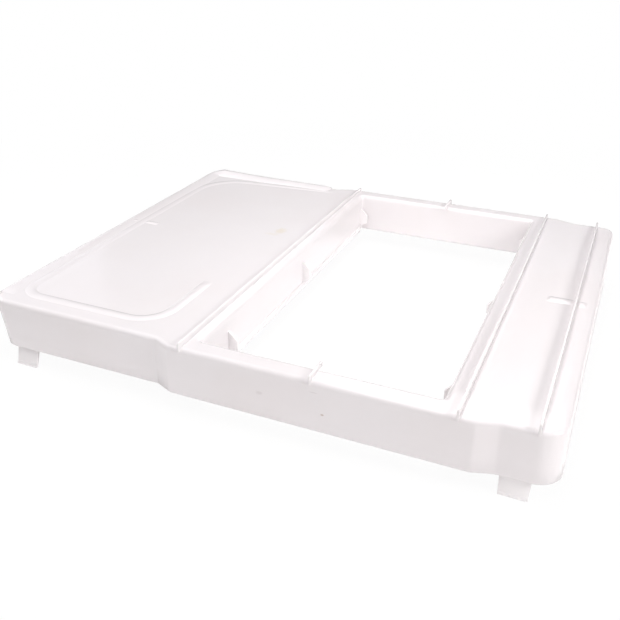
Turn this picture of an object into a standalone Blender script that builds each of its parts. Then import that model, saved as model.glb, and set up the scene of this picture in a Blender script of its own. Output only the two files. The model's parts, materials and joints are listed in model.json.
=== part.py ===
"""Shallow moulded cover frame of a litter box hood, in metres, +Z up.

A skirt stands under a flat deck. The deck is closed on the left and has one large
rectangular opening on the right, lined by walls that hang to the skirt's depth.
Thin ribs stiffen the top. Four snap tabs hang from the skirt's foot, splayed outwards,
and carry the frame when it stands on a table. The origin is below the middle of the
frame, on the plane of the tabs' lower ends.
"""

from math import atan2, cos, pi, radians, sin, sqrt, tan

import bmesh
import bpy
from mathutils import Vector

# Overall sizes
WIDTH = 0.560  # left to right
DEPTH = 0.470  # front to back, over the centre section
SKIRT_HEIGHT = 0.0485
TAB_DROP = 0.0185  # how far the tabs hang below the skirt
GAP = 0.0003  # parting gap between neighbouring pieces

# Heights above the plane the tabs stand on
SKIRT_Z = TAB_DROP
DECK_Z = SKIRT_Z + SKIRT_HEIGHT

# Moulding sections
WALL = 0.0025
DRAFT = 0.001  # the skirt's foot stands this far outside its top, but not on the left
LEFT_LEAN = 0.0085  # the left wall's foot is this far inside its top
LEFT_LEAN_REACH = 0.060  # the lean fades out this far along the front and the back
EDGE_RADIUS = 0.005  # rounding along the skirt's and the opening's top edges
BORDER = 0.010  # width of the skirt's top flange, from its foot inwards
ARC_STEP = radians(12)
SHARP_ANGLE = radians(35)  # edges that turn more than this are shaded sharp

# The end sections stand back from the centre section
LEFT_SETBACK = 0.008
RIGHT_SETBACK_FRONT = 0.006
RIGHT_SETBACK_BACK = 0.007
JOG_RADIUS = 0.014  # more than BORDER, so that the flange's inner edge stays clear of itself
LEFT_JOG_INNER_RADIUS = 0.005  # the left jogs turn crisply where they meet the left end
LEFT_JOG = (0.197, 0.215)  # where the left jogs start and end, from the left side
RIGHT_JOG = (0.492, 0.5105)
LEFT_SEAM = 0.2195  # parting lines between the end and the centre sections
RIGHT_SEAM = 0.4865
NEAR_LEFT_RADIUS = 0.022
NEAR_RIGHT_RADIUS = 0.022
FAR_RIGHT_RADIUS = 0.015
FAR_LEFT_RADIUS = 0.020

# Opening
OPENING_LEFT = 0.238
OPENING_RIGHT = 0.4615
RAIL = 0.023  # from the front or back foot to the opening
OPENING_FRONT = RAIL
OPENING_BACK = DEPTH - RAIL
LINER_FOOT_Z = SKIRT_Z + 0.002
LIP_OUT = 0.003  # lip along the foot of the side liners
LIP_HEIGHT = 0.005

# Ribs and fins on the top
RIB_THICK = 0.0022
RIB_LEFT_X = 0.2274
RIB_RIGHT_X = 0.4778
RIB_OUTER_X = 0.5385
RIB_LEFT_HEIGHT = 0.006
RIB_RIGHT_HEIGHT = 0.007
RIB_OUTER_HEIGHT = 0.008
FIN_X = 0.3535
FIN_HEIGHT = 0.005
FIN_OVERHANG = 0.005  # how far a fin reaches past the opening's edge
RIB_BACK_DROP = 0.003  # the ribs are this much lower at their back ends
RIB_DROP_REACH = 0.060  # how far from the back end the top starts to fall
RIB_CORNER_SHARE = 1 / 3  # bevel of a rib's or a fin's upper corners, as a share of its height
RIB_WRAP = radians(169)  # how far round the skirt's edge a rib's end reaches, from the deck's side

# Beads and the raised edge lip
BEAD_WIDTH = 0.009
BEAD_HEIGHT = 0.0022
BEAD_LEFT_X = 0.0215
BEAD_RIGHT_X = 0.183
BEAD_FRONT_Y = 0.033
BEAD_CORNER_Y = 0.428  # the back run slants: its corner, and its end by the left jog
BEAD_BACK_END = (0.196, 0.446)
BEAD_END_Y = 0.131
BEAD_FAR_RADIUS = 0.055
BEAD_NEAR_RADIUS = 0.024
BEAD_HOOK_RADIUS = 0.032
# Start, end and depth of each cross bead's centre line, and its width
CROSS_BEADS = {
    "cross_bead_left_outer": (0.0082, 0.0166, 0.245, 0.007),
    "cross_bead_left_inner": (0.0264, 0.044, 0.247, 0.007),
    "cross_bead_right_inner": (0.511, 0.5366, 0.236, 0.011),
    "cross_bead_right_outer": (0.5404, 0.5493, 0.235, 0.011),
}
CROSS_HEIGHT = 0.0016
EDGE_LIP_WIDTH = 0.0065  # from the top's outer limit inwards
EDGE_LIP_HEIGHT = 0.0010  # along the left edge
EDGE_LIP_BACK_HEIGHT = 0.0024
EDGE_LIP_CORNER_RISE = 0.0032  # extra height at the far left corner
EDGE_LIP_RISE_REACH = 0.055  # how far from that corner the extra height fades
EDGE_LIP_END_Y = 0.026
EDGE_LIP_BACK_END_X = 0.188
EDGE_LIP_STEP = 0.015
EDGE_LIP_WRAP = radians(140)  # how far round the skirt's edge the lip's underside reaches
EDGE_LIP_SIDE_SHARE = 0.4  # share of the corner's extra height that the left edge gets
# Points of the lip's crown: how far from its outer to its inner side, and the share of its height
EDGE_LIP_CROWN = ((0.75, 0.75), (0.5, 1.0), (0.2, 0.88), (0.0, 0.55))

# Stops on the side liners
STOP_DEPTHS = {"front": 0.072, "mid": 0.248, "back": 0.4405}
STOP_THICK = 0.003
STOP_REACH = 0.010
# Heights of the web's top, shoulder, heel and foot below the deck
STOP_TOP = 0.016
STOP_SHOULDER = 0.025
STOP_HEEL = 0.035
STOP_FOOT = 0.040

# Snap tabs: each hangs from a root block behind the skirt by its rounded upper edge
TAB_WIDTH = 0.0255  # at the upper edge
TAB_FOOT_WIDTH = 0.0238
TAB_LEFT_X = 0.0405
TAB_RIGHT_X = 0.5265
TAB_THICK = 0.0025
TAB_SPLAY = radians(8)
TAB_FRONT_LEFT_SPLAY = radians(18)  # this tab has been bent further out
TAB_CATCH = 0.0008  # the ridge along the tab's lower end
TAB_CATCH_HEIGHT = 0.0025
ROOT_HEIGHT = 0.014
ROOT_THICK = 0.003
ROOT_BEVEL_SHARE = 1 / 3  # what is left of the root's thickness at its upper edge

WHITE = (0.86, 0.84, 0.845, 1.0)
ROUGHNESS = 0.3


def clear_scene():
    """Remove every object the scene starts with."""
    for old in list(bpy.data.objects):
        bpy.data.objects.remove(old, do_unlink=True)


def plastic(name):
    """Return a white plastic material of the given name."""
    material = bpy.data.materials.new(name)
    material.use_nodes = True
    shader = material.node_tree.nodes["Principled BSDF"]
    shader.inputs["Base Color"].default_value = WHITE
    shader.inputs["Roughness"].default_value = ROUGHNESS
    shader.inputs["Metallic"].default_value = 0.0
    material.diffuse_color = WHITE
    return material


def centred(point):
    """Turn a plan point measured from the left side and the front into the frame's own axes."""
    x, y, z = point
    return Vector((x - WIDTH / 2, y - DEPTH / 2, z))


def add_object(name, points, faces, origin=(0.0, 0.0, 0.0)):
    """Add one closed mesh with its normals facing out and its origin at the given point."""
    origin = Vector(origin)
    mesh = bpy.data.meshes.new(name)
    bm = bmesh.new()
    verts = [bm.verts.new(Vector(point) - origin) for point in points]
    for face in faces:
        bm.faces.new([verts[index] for index in face])
    bmesh.ops.recalc_face_normals(bm, faces=bm.faces)
    bm.to_mesh(mesh)
    bm.free()
    mesh.shade_smooth()
    mesh.set_sharp_from_angle(angle=SHARP_ANGLE)
    obj = bpy.data.objects.new(name, mesh)
    obj.location = origin
    obj.data.materials.append(plastic(name))
    bpy.context.scene.collection.objects.link(obj)
    return obj


def arc(centre, radius, start, end):
    """Points on an arc, both ends included."""
    count = max(1, round(abs(end - start) / ARC_STEP))
    steps = [start + (end - start) * i / count for i in range(count + 1)]
    return [(centre[0] + radius * cos(a), centre[1] + radius * sin(a)) for a in steps]


def rounded_path(corners):
    """Follow corners given as (x, y, radius) and round each one.

    Returns (x, y, nx, ny) for each point, where (nx, ny) is the unit normal on the
    left of the direction of travel.
    """
    path = []
    for i, (x, y, radius) in enumerate(corners):
        here = Vector((x, y))
        before = here - Vector(corners[i - 1][:2]) if i else None
        after = Vector(corners[i + 1][:2]) - here if i < len(corners) - 1 else None
        if before is None or after is None:
            along = (after or before).normalized()
            path.append((x, y, -along.y, along.x))
            continue
        a = before.normalized()
        b = after.normalized()
        turn = atan2(a.x * b.y - a.y * b.x, a.dot(b))
        side = 1 if turn > 0 else -1
        start = here - a * radius * tan(abs(turn) / 2)
        centre = start + Vector((-a.y, a.x)) * radius * side
        first = atan2(start.y - centre.y, start.x - centre.x)
        for px, py in arc(centre, radius, first, first + turn):
            normal = (Vector((px, py)) - centre) * -side / radius
            path.append((px, py, normal.x, normal.y))
    return path


def offset(path, distance):
    """Plan points of the path moved to the left of its direction of travel."""
    return [(x + nx * distance, y + ny * distance) for x, y, nx, ny in path]


def sweep(name, path, sections):
    """Sweep a closed section of (distance to the left, z) along the path and cap both ends.

    sections is one section, or a list with one for each point of the path.
    """
    if not isinstance(sections[0], list):
        sections = [sections] * len(path)
    points = []
    for (x, y, nx, ny), section in zip(path, sections):
        points += [centred((x + nx * n, y + ny * n, z)) for n, z in section]
    size = len(sections[0])
    faces = [list(range(size)), list(range((len(path) - 1) * size, len(path) * size))]
    for ring in range(len(path) - 1):
        low, high = ring * size, (ring + 1) * size
        for i in range(size):
            j = (i + 1) % size
            faces.append([low + i, low + j, high + j, high + i])
    return add_object(name, points, faces)


def prism(name, one_end, other_end, origin=(0.0, 0.0, 0.0)):
    """A solid between two outlines that have the same number of points."""
    size = len(one_end)
    points = [centred(point) for point in [*one_end, *other_end]]
    faces = [list(range(size)), list(range(size, 2 * size))]
    faces += [[i, (i + 1) % size, size + (i + 1) % size, size + i] for i in range(size)]
    return add_object(name, points, faces, origin)


def plate(name, outline, bottom, top):
    """A flat plate of the given plan outline."""
    under = [(x, y, bottom) for x, y in outline]
    over = [(x, y, top) for x, y in outline]
    return prism(name, under, over)


def slab(name, profile, x_middle, thick):
    """Extrude a profile of (y, z) along X, the thickness centred on x_middle."""
    left = [(x_middle - thick / 2, y, z) for y, z in profile]
    right = [(x_middle + thick / 2, y, z) for y, z in profile]
    return prism(name, left, right)


def left_end_path():
    """The skirt's foot round the left end, with the frame's inside on the left hand."""
    back = DEPTH - LEFT_SETBACK
    start, end = LEFT_JOG
    return rounded_path([
        (LEFT_SEAM, DEPTH, 0),
        (end, DEPTH, JOG_RADIUS),
        (start, back, LEFT_JOG_INNER_RADIUS),
        (0, back, FAR_LEFT_RADIUS),
        (0, LEFT_SETBACK, NEAR_LEFT_RADIUS),
        (start, LEFT_SETBACK, LEFT_JOG_INNER_RADIUS),
        (end, 0, JOG_RADIUS),
        (LEFT_SEAM, 0, 0),
    ])


def right_end_path():
    """The skirt's foot round the right end, with the frame's inside on the left hand."""
    front = RIGHT_SETBACK_FRONT
    back = DEPTH - RIGHT_SETBACK_BACK
    start, end = RIGHT_JOG
    return rounded_path([
        (RIGHT_SEAM, 0, 0),
        (start, 0, JOG_RADIUS),
        (end, front, JOG_RADIUS),
        (WIDTH, front, NEAR_RIGHT_RADIUS),
        (WIDTH, back, FAR_RIGHT_RADIUS),
        (end, back, JOG_RADIUS),
        (start, DEPTH, JOG_RADIUS),
        (RIGHT_SEAM, DEPTH, 0),
    ])


def top_inset(nx):
    """How far the wall's top is inside the outline, from the X part of its inward normal."""
    return DRAFT * (1 - max(0.0, nx) ** 2)


def skirt_section(nx):
    """Wall with a rounded top edge and a flange turned inwards."""
    top = top_inset(nx)
    rounding = arc((top + EDGE_RADIUS, DECK_Z - EDGE_RADIUS), EDGE_RADIUS, pi, pi / 2)
    return [
        (0, SKIRT_Z),
        *rounding,
        (BORDER, DECK_Z),
        (BORDER, DECK_Z - WALL),
        (top + EDGE_RADIUS, DECK_Z - WALL),
        (top + WALL, DECK_Z - EDGE_RADIUS),
        (WALL, SKIRT_Z),
    ]


def lean_left_wall(obj):
    """Move the foot of the left wall inwards, fading out along the front and the back."""
    for vertex in obj.data.vertices:
        x = vertex.co.x + WIDTH / 2
        if vertex.co.z < SKIRT_Z + WALL and x < LEFT_LEAN_REACH:
            vertex.co.x += LEFT_LEAN * (1 - x / LEFT_LEAN_REACH)


def make_skirts():
    """The skirt in four pieces, with the same section all round."""
    centre_left = LEFT_SEAM + GAP
    centre_right = RIGHT_SEAM - GAP
    paths = {
        "skirt_left_end": left_end_path(),
        "skirt_right_end": right_end_path(),
        "skirt_front": rounded_path([(centre_left, 0, 0), (centre_right, 0, 0)]),
        "skirt_back": rounded_path([(centre_right, DEPTH, 0), (centre_left, DEPTH, 0)]),
    }
    skirts = {}
    for name, path in paths.items():
        skirts[name] = sweep(name, path, [skirt_section(nx) for x, y, nx, ny in path])
    lean_left_wall(skirts["skirt_left_end"])


def make_decks():
    """The closed deck plates inside the skirt's flange."""
    inset = BORDER + GAP
    plate("deck_left", offset(left_end_path(), inset), DECK_Z - WALL, DECK_Z)
    plate("deck_right", offset(right_end_path(), inset), DECK_Z - WALL, DECK_Z)


def liner_section(flange, lip):
    """Liner section as (distance from the opening, z), clockwise from the foot."""
    rounding = arc((EDGE_RADIUS, DECK_Z - EDGE_RADIUS), EDGE_RADIUS, pi, pi / 2)
    foot = [(0, LINER_FOOT_Z)]
    if lip:
        foot = [
            (-LIP_OUT, LINER_FOOT_Z),
            (-LIP_OUT, LINER_FOOT_Z + LIP_HEIGHT - LIP_OUT / 2),
            (-LIP_OUT / 2, LINER_FOOT_Z + LIP_HEIGHT),
            (0, LINER_FOOT_Z + LIP_HEIGHT),
        ]
    top = [(flange, DECK_Z), (flange, DECK_Z - WALL)]
    return [
        *foot,
        *rounding,
        *top,
        (EDGE_RADIUS, DECK_Z - WALL),
        (WALL, DECK_Z - EDGE_RADIUS),
        (WALL, LINER_FOOT_Z),
    ]


def make_liner(name, start, end, away, flange, lip=False):
    """A wall along one side of the opening, with mitred ends.

    start and end are the opening's corners, and away is the unit vector that points
    from the opening into the deck. The mitre reaches as far as the front and back
    flanges, and a wider flange ends square beyond it.
    """
    mitre = RAIL - BORDER - GAP
    along = (Vector(end) - Vector(start)).normalized()
    away = Vector(away)
    section = liner_section(mitre, lip)
    wide = [(mitre, DECK_Z), (flange, DECK_Z), (flange, DECK_Z - WALL), (mitre, DECK_Z - WALL)]
    points = []
    rings = []
    for corner, sign in ((Vector(start), -1), (Vector(end), 1)):
        rings.append(len(points))
        for n, z in section:
            at = corner + away * n + along * sign * n
            points.append(centred((at.x, at.y, z)))
        for n, z in wide[1:3]:
            at = corner + away * n + along * sign * mitre
            points.append(centred((at.x, at.y, z)))
    size = len(section)
    top_edge = section.index((mitre, DECK_Z))
    low_edge = section.index((mitre, DECK_Z - WALL))
    first, last = rings
    faces = [[first + i for i in range(size)], [last + i for i in range(size)]]
    widened = flange > mitre + GAP
    for i in range(size):
        if widened and i == top_edge:
            continue
        j = (i + 1) % size
        faces.append([first + i, first + j, last + j, last + i])
    if widened:
        loop = [top_edge, size, size + 1, low_edge]
        faces += [[first + i for i in loop], [last + i for i in loop]]
        for i, j in zip(loop, loop[1:]):
            faces.append([first + i, first + j, last + j, last + i])
    used = sorted({index for face in faces for index in face})
    renumber = {old: new for new, old in enumerate(used)}
    faces = [[renumber[index] for index in face] for face in faces]
    return add_object(name, [points[index] for index in used], faces)


def make_liners():
    """The four walls that line the opening."""
    narrow = RAIL - BORDER - GAP
    mitre_gap = sqrt(2) * GAP
    front = OPENING_FRONT + mitre_gap
    back = OPENING_BACK - mitre_gap
    left, right = OPENING_LEFT, OPENING_RIGHT
    left_flange = OPENING_LEFT - LEFT_SEAM - GAP
    right_flange = RIGHT_SEAM - GAP - OPENING_RIGHT
    make_liner("liner_left", (left, front), (left, back), (-1, 0), left_flange, lip=True)
    make_liner("liner_right", (right, front), (right, back), (1, 0), right_flange, lip=True)
    make_liner("liner_front", (left, OPENING_FRONT), (right, OPENING_FRONT), (0, -1), narrow)
    make_liner("liner_back", (left, OPENING_BACK), (right, OPENING_BACK), (0, 1), narrow)


def over_edge(foot_y, inward):
    """Points that follow the skirt's rounded edge from its side up to the deck, a gap clear of it."""
    centre = (DRAFT + EDGE_RADIUS, DECK_Z - EDGE_RADIUS)
    round_edge = arc(centre, EDGE_RADIUS + GAP, RIB_WRAP, pi / 2)
    return [(foot_y + inward * n, z) for n, z in round_edge]


def make_rib(name, x, height, front_foot, back_foot):
    """A thin upright rib from the front edge to the back edge, lower at the back."""
    bottom = over_edge(front_foot, 1)
    bottom += reversed(over_edge(back_foot, -1))
    front_y = bottom[0][0]
    back_y = bottom[-1][0]
    corner = height * RIB_CORNER_SHARE
    back_top = DECK_Z + height - RIB_BACK_DROP
    top = [
        (back_y, back_top - corner),
        (back_y - corner, back_top),
        (back_y - RIB_DROP_REACH, DECK_Z + height),
        (front_y + corner, DECK_Z + height),
        (front_y, DECK_Z + height - corner),
    ]
    return slab(name, bottom + top, x, RIB_THICK)


def make_fin(name, foot_y, inward, edge_y):
    """A short fin across one rail, from the skirt's edge to just past the opening's edge."""
    bottom = over_edge(foot_y, inward)
    tip_y = edge_y + inward * FIN_OVERHANG
    front_y = bottom[0][0]
    corner = FIN_HEIGHT * RIB_CORNER_SHARE
    top_z = DECK_Z + FIN_HEIGHT
    profile = bottom + [
        (tip_y, DECK_Z + GAP),
        (tip_y, top_z - corner),
        (tip_y - inward * corner, top_z),
        (front_y + inward * corner, top_z),
        (front_y, top_z - corner),
    ]
    return slab(name, profile, FIN_X, RIB_THICK)


def make_ribs():
    """The three long ribs and the two fins."""
    right_back = DEPTH - RIGHT_SETBACK_BACK
    make_rib("rib_left", RIB_LEFT_X, RIB_LEFT_HEIGHT, 0, DEPTH)
    make_rib("rib_right", RIB_RIGHT_X, RIB_RIGHT_HEIGHT, 0, DEPTH)
    make_rib("rib_outer", RIB_OUTER_X, RIB_OUTER_HEIGHT, RIGHT_SETBACK_FRONT, right_back)
    make_fin("fin_front", 0, 1, OPENING_FRONT)
    make_fin("fin_back", DEPTH, -1, OPENING_BACK)


def bead_section(width, height):
    """A low half-round bead, centred on its path and a gap above the deck."""
    base = DECK_Z + GAP
    crown = arc((0, 0), 1, 0, pi)
    return [(width / 2 * c, base + height * s) for c, s in crown]


def make_beads():
    """The low raised beads on the closed panel and the two end strips."""
    path = rounded_path([
        (*BEAD_BACK_END, 0),
        (BEAD_LEFT_X, BEAD_CORNER_Y, BEAD_FAR_RADIUS),
        (BEAD_LEFT_X, BEAD_FRONT_Y, BEAD_NEAR_RADIUS),
        (BEAD_RIGHT_X, BEAD_FRONT_Y, BEAD_HOOK_RADIUS),
        (BEAD_RIGHT_X, BEAD_END_Y, 0),
    ])
    sweep("panel_bead", path, bead_section(BEAD_WIDTH, BEAD_HEIGHT))
    for name, (start, end, y, width) in CROSS_BEADS.items():
        across = rounded_path([(start, y, 0), (end, y, 0)])
        sweep(name, across, bead_section(width, CROSS_HEIGHT))


def subdivide(path, step):
    """Add points to the straight runs of a path, so that a height can vary along them."""
    fine = [path[0]]
    for before, after in zip(path, path[1:]):
        length = (Vector(after[:2]) - Vector(before[:2])).length
        count = max(1, round(length / step))
        for i in range(1, count + 1):
            blend = [a + (b - a) * i / count for a, b in zip(before, after)]
            fine.append(tuple(blend))
    return fine


def edge_lip_section(nx, height):
    """A rim that sits on the skirt's rounded edge, a gap clear of it."""
    top = top_inset(nx)
    centre = (top + EDGE_RADIUS, DECK_Z - EDGE_RADIUS)
    under = arc(centre, EDGE_RADIUS + GAP, EDGE_LIP_WRAP, pi / 2)
    outer = under[0][0]
    inner = top + EDGE_LIP_WIDTH
    crown = [(outer + (inner - outer) * n, DECK_Z + height * z) for n, z in EDGE_LIP_CROWN]
    return [*under, (inner, DECK_Z + GAP), *crown]


def make_edge_lip():
    """The raised rim along the left edge and the left part of the back edge."""
    back = DEPTH - LEFT_SETBACK
    path = rounded_path([
        (EDGE_LIP_BACK_END_X, back, 0),
        (0, back, FAR_LEFT_RADIUS),
        (0, EDGE_LIP_END_Y, 0),
    ])
    path = subdivide(path, EDGE_LIP_STEP)
    corner = Vector((0, back))
    sections = []
    for x, y, nx, ny in path:
        along_back = max(0.0, -ny)
        away = (Vector((x, y)) - corner).length / EDGE_LIP_RISE_REACH
        height = EDGE_LIP_HEIGHT + (EDGE_LIP_BACK_HEIGHT - EDGE_LIP_HEIGHT) * along_back
        share = EDGE_LIP_SIDE_SHARE + (1 - EDGE_LIP_SIDE_SHARE) * along_back
        height += EDGE_LIP_CORNER_RISE * share / (1 + away * away)
        sections.append(edge_lip_section(nx, height))
    sweep("edge_lip_left", path, sections)


def make_stop(name, wall_x, inward, y):
    """A small upright web on a side liner, widest just above the lip."""
    start = wall_x + inward * GAP
    edge = start + inward * WALL / 2
    reach = wall_x + inward * STOP_REACH
    profile = [
        (start, DECK_Z - STOP_FOOT),
        (edge, DECK_Z - STOP_FOOT),
        (reach, DECK_Z - STOP_HEEL),
        (reach, DECK_Z - STOP_SHOULDER),
        (edge, DECK_Z - STOP_TOP),
        (start, DECK_Z - STOP_TOP),
    ]
    near = [(x, y - STOP_THICK / 2, z) for x, z in profile]
    far = [(x, y + STOP_THICK / 2, z) for x, z in profile]
    return prism(name, near, far)


def make_stops():
    """Three stops on each side liner."""
    for place, y in STOP_DEPTHS.items():
        make_stop("stop_left_" + place, OPENING_LEFT, 1, y)
        make_stop("stop_right_" + place, OPENING_RIGHT, -1, y)


def make_root(name, x, foot_y, inward):
    """The block behind the skirt that a tab hangs from, against the drafted wall."""
    draft = DRAFT * ROOT_HEIGHT / (DECK_Z - EDGE_RADIUS - SKIRT_Z)
    near = WALL + GAP
    profile = [
        (foot_y + inward * near, SKIRT_Z),
        (foot_y + inward * (near + ROOT_THICK), SKIRT_Z),
        (foot_y + inward * (near + ROOT_THICK), SKIRT_Z + ROOT_HEIGHT - ROOT_THICK),
        (foot_y + inward * (near + draft + ROOT_THICK * ROOT_BEVEL_SHARE), SKIRT_Z + ROOT_HEIGHT),
        (foot_y + inward * (near + draft), SKIRT_Z + ROOT_HEIGHT),
    ]
    return slab(name, profile, x, TAB_WIDTH)


def make_tab(name, x, foot_y, inward, splay):
    """A tab with a rounded upper edge, its origin on that edge's axis and its end on the ground."""
    half = TAB_THICK / 2
    pivot = Vector((WALL + GAP + half, SKIRT_Z - GAP - half))
    down = Vector((-sin(splay), -cos(splay)))
    out = Vector((-cos(splay), sin(splay)))
    outer_length = (pivot.y + half * sin(splay)) / cos(splay)
    inner_length = (pivot.y - half * sin(splay)) / cos(splay)
    outer_face = pivot + out * half
    start = atan2(out.y, out.x)
    section = [Vector(p) for p in arc(pivot, half, start, start - pi)]
    section += [
        pivot - out * half + down * inner_length,
        outer_face + down * outer_length,
        outer_face + down * (outer_length - TAB_CATCH) + out * TAB_CATCH,
        outer_face + down * (outer_length - TAB_CATCH_HEIGHT) + out * TAB_CATCH,
        outer_face + down * (outer_length - TAB_CATCH_HEIGHT - TAB_CATCH),
    ]
    taper = (TAB_WIDTH - TAB_FOOT_WIDTH) / SKIRT_Z
    sides = []
    for side in (-0.5, 0.5):
        widths = [side * (TAB_FOOT_WIDTH + taper * z) for n, z in section]
        sides.append([(x + w, foot_y + inward * n, z) for w, (n, z) in zip(widths, section)])
    return prism(name, *sides, centred((x, foot_y + inward * pivot.x, pivot.y)))


def make_tabs():
    """The four snap tabs and the roots they hang from."""
    left_back = DEPTH - LEFT_SETBACK
    right_back = DEPTH - RIGHT_SETBACK_BACK
    places = {
        "front_left": (TAB_LEFT_X, LEFT_SETBACK, 1, TAB_FRONT_LEFT_SPLAY),
        "front_right": (TAB_RIGHT_X, RIGHT_SETBACK_FRONT, 1, TAB_SPLAY),
        "back_left": (TAB_LEFT_X, left_back, -1, TAB_SPLAY),
        "back_right": (TAB_RIGHT_X, right_back, -1, TAB_SPLAY),
    }
    for place, (x, foot_y, inward, splay) in places.items():
        make_root("tab_root_" + place, x, foot_y, inward)
        make_tab("tab_" + place, x, foot_y, inward, splay)


def main():
    """Build every piece of the frame."""
    clear_scene()
    make_skirts()
    make_decks()
    make_liners()
    make_ribs()
    make_beads()
    make_edge_lip()
    make_stops()
    make_tabs()


main()
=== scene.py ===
"""Looks of a shallow white cover frame: a glossy moulding with ribs, soft beads, stops and sprung tabs.

Sizes and places are in metres.
"""

import json
import logging
from dataclasses import dataclass
from enum import Enum
from math import atan2, cos, pi, radians, sin, tan
from typing import Optional, Sequence, Union

import bmesh
import bpy
from mathutils import Matrix, Vector


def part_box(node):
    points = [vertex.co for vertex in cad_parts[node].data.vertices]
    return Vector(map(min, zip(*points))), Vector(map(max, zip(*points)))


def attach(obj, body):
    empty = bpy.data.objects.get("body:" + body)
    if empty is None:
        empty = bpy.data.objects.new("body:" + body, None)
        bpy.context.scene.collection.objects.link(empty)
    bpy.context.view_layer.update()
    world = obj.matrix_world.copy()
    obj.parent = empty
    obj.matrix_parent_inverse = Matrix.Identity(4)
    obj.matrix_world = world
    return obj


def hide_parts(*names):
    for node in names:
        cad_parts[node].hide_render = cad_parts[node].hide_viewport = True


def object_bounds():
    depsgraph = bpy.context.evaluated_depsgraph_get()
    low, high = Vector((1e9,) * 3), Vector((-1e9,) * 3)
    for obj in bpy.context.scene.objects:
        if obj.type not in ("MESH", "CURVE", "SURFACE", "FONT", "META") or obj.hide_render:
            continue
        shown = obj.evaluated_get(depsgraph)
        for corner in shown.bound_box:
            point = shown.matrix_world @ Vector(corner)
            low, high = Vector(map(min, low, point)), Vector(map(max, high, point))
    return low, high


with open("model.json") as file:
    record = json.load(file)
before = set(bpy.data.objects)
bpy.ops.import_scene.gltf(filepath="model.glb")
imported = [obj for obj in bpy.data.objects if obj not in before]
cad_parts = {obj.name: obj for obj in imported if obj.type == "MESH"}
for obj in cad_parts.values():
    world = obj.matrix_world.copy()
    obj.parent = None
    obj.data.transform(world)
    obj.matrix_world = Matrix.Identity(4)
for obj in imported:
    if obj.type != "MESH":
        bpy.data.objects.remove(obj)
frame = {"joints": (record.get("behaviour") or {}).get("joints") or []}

CAD_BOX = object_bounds()
LOG = logging.getLogger("cover_frame")

Triple = tuple[float, float, float]
Colour = Triple
Band = tuple[float, float]
Stop = tuple[Vector, float, float]
Loop = list[tuple[Vector, Vector]]

ROUNDED_FROM = radians(30)  # edges that turn by more than this are rounded
ROUNDED_STEPS = 3
SHARP_FROM = radians(18)  # edges that turn by more than this stay sharp in the shading
WELD = 1e-7
TOUCH = 1e-5
TURN_STEP = radians(7)  # the turn between two points of a rounded corner
FEWEST_STEPS = 4


class Slot(Enum):
    """The record's material slots."""

    SHELL = "shell_white"
    RIB = "rib_white"
    TRIM = "trim_white"
    TAB = "tab_white"


class Body(Enum):
    """The bodies that pieces ride on."""

    FRAME = "frame"
    FRONT_LEFT = "tab_front_left_body"
    FRONT_RIGHT = "tab_front_right_body"
    BACK_LEFT = "tab_back_left_body"
    BACK_RIGHT = "tab_back_right_body"


# ---------------------------------------------------------------- shader maths


class Wire:
    """A value socket that takes part in Python expressions."""

    def __init__(self, tree: bpy.types.NodeTree, socket: bpy.types.NodeSocket) -> None:
        """Keep the tree that new Math nodes go into and the socket the value comes from."""
        self.tree = tree
        self.socket = socket

    def _math(self, operation: str, *operands: Union["Wire", float]) -> "Wire":
        """Add a Math node.

        Args:
            operation: The node's operation.
            operands: Its inputs in order, as wires or numbers.

        Returns:
            The node's result.
        """
        node = self.tree.nodes.new("ShaderNodeMath")
        node.operation = operation
        for socket, operand in zip(node.inputs, operands):
            if isinstance(operand, Wire):
                self.tree.links.new(operand.socket, socket)
            else:
                socket.default_value = operand
        return Wire(self.tree, node.outputs[0])

    def __add__(self, other: Union["Wire", float]) -> "Wire":
        """Return self + other."""
        return self._math("ADD", self, other)

    __radd__ = __add__

    def __sub__(self, other: Union["Wire", float]) -> "Wire":
        """Return self - other."""
        return self._math("SUBTRACT", self, other)

    def __rsub__(self, other: float) -> "Wire":
        """Return other - self."""
        return self._math("SUBTRACT", other, self)

    def __mul__(self, other: Union["Wire", float]) -> "Wire":
        """Return self * other."""
        return self._math("MULTIPLY", self, other)

    __rmul__ = __mul__

    def __truediv__(self, other: Union["Wire", float]) -> "Wire":
        """Return self / other."""
        return self._math("DIVIDE", self, other)

    def larger(self, other: Union["Wire", float]) -> "Wire":
        """Return the larger of the two."""
        return self._math("MAXIMUM", self, other)

    def smaller(self, other: Union["Wire", float]) -> "Wire":
        """Return the smaller of the two."""
        return self._math("MINIMUM", self, other)

    def smooth(self, low: float, high: float) -> "Wire":
        """Ease from 0 at low to 1 at high, and hold outside.

        Args:
            low: Where the result leaves 0. It may be above high.
            high: Where the result reaches 1.

        Returns:
            The eased value.
        """
        share = ((self - low) / (high - low)).larger(0.0).smaller(1.0)
        return share * share * (3.0 - 2.0 * share)


class Nodes:
    """Adds nodes to one tree."""

    def __init__(self, tree: bpy.types.NodeTree) -> None:
        """Keep the tree that nodes go into."""
        self.tree = tree

    def node(
        self, kind: str, settings: Optional[dict] = None, values: Optional[dict] = None
    ) -> bpy.types.Node:
        """Add a node.

        Args:
            kind: The node's type.
            settings: Its own settings, such as an operation, which are set first.
            values: Values, wires or sockets for its inputs, by name or number.

        Returns:
            The node.
        """
        made = self.tree.nodes.new(kind)
        for name, value in (settings or {}).items():
            setattr(made, name, value)
        for name, value in (values or {}).items():
            socket = made.inputs[name]
            if isinstance(value, Wire):
                self.tree.links.new(value.socket, socket)
            elif isinstance(value, bpy.types.NodeSocket):
                self.tree.links.new(value, socket)
            else:
                socket.default_value = value
        return made


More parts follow.
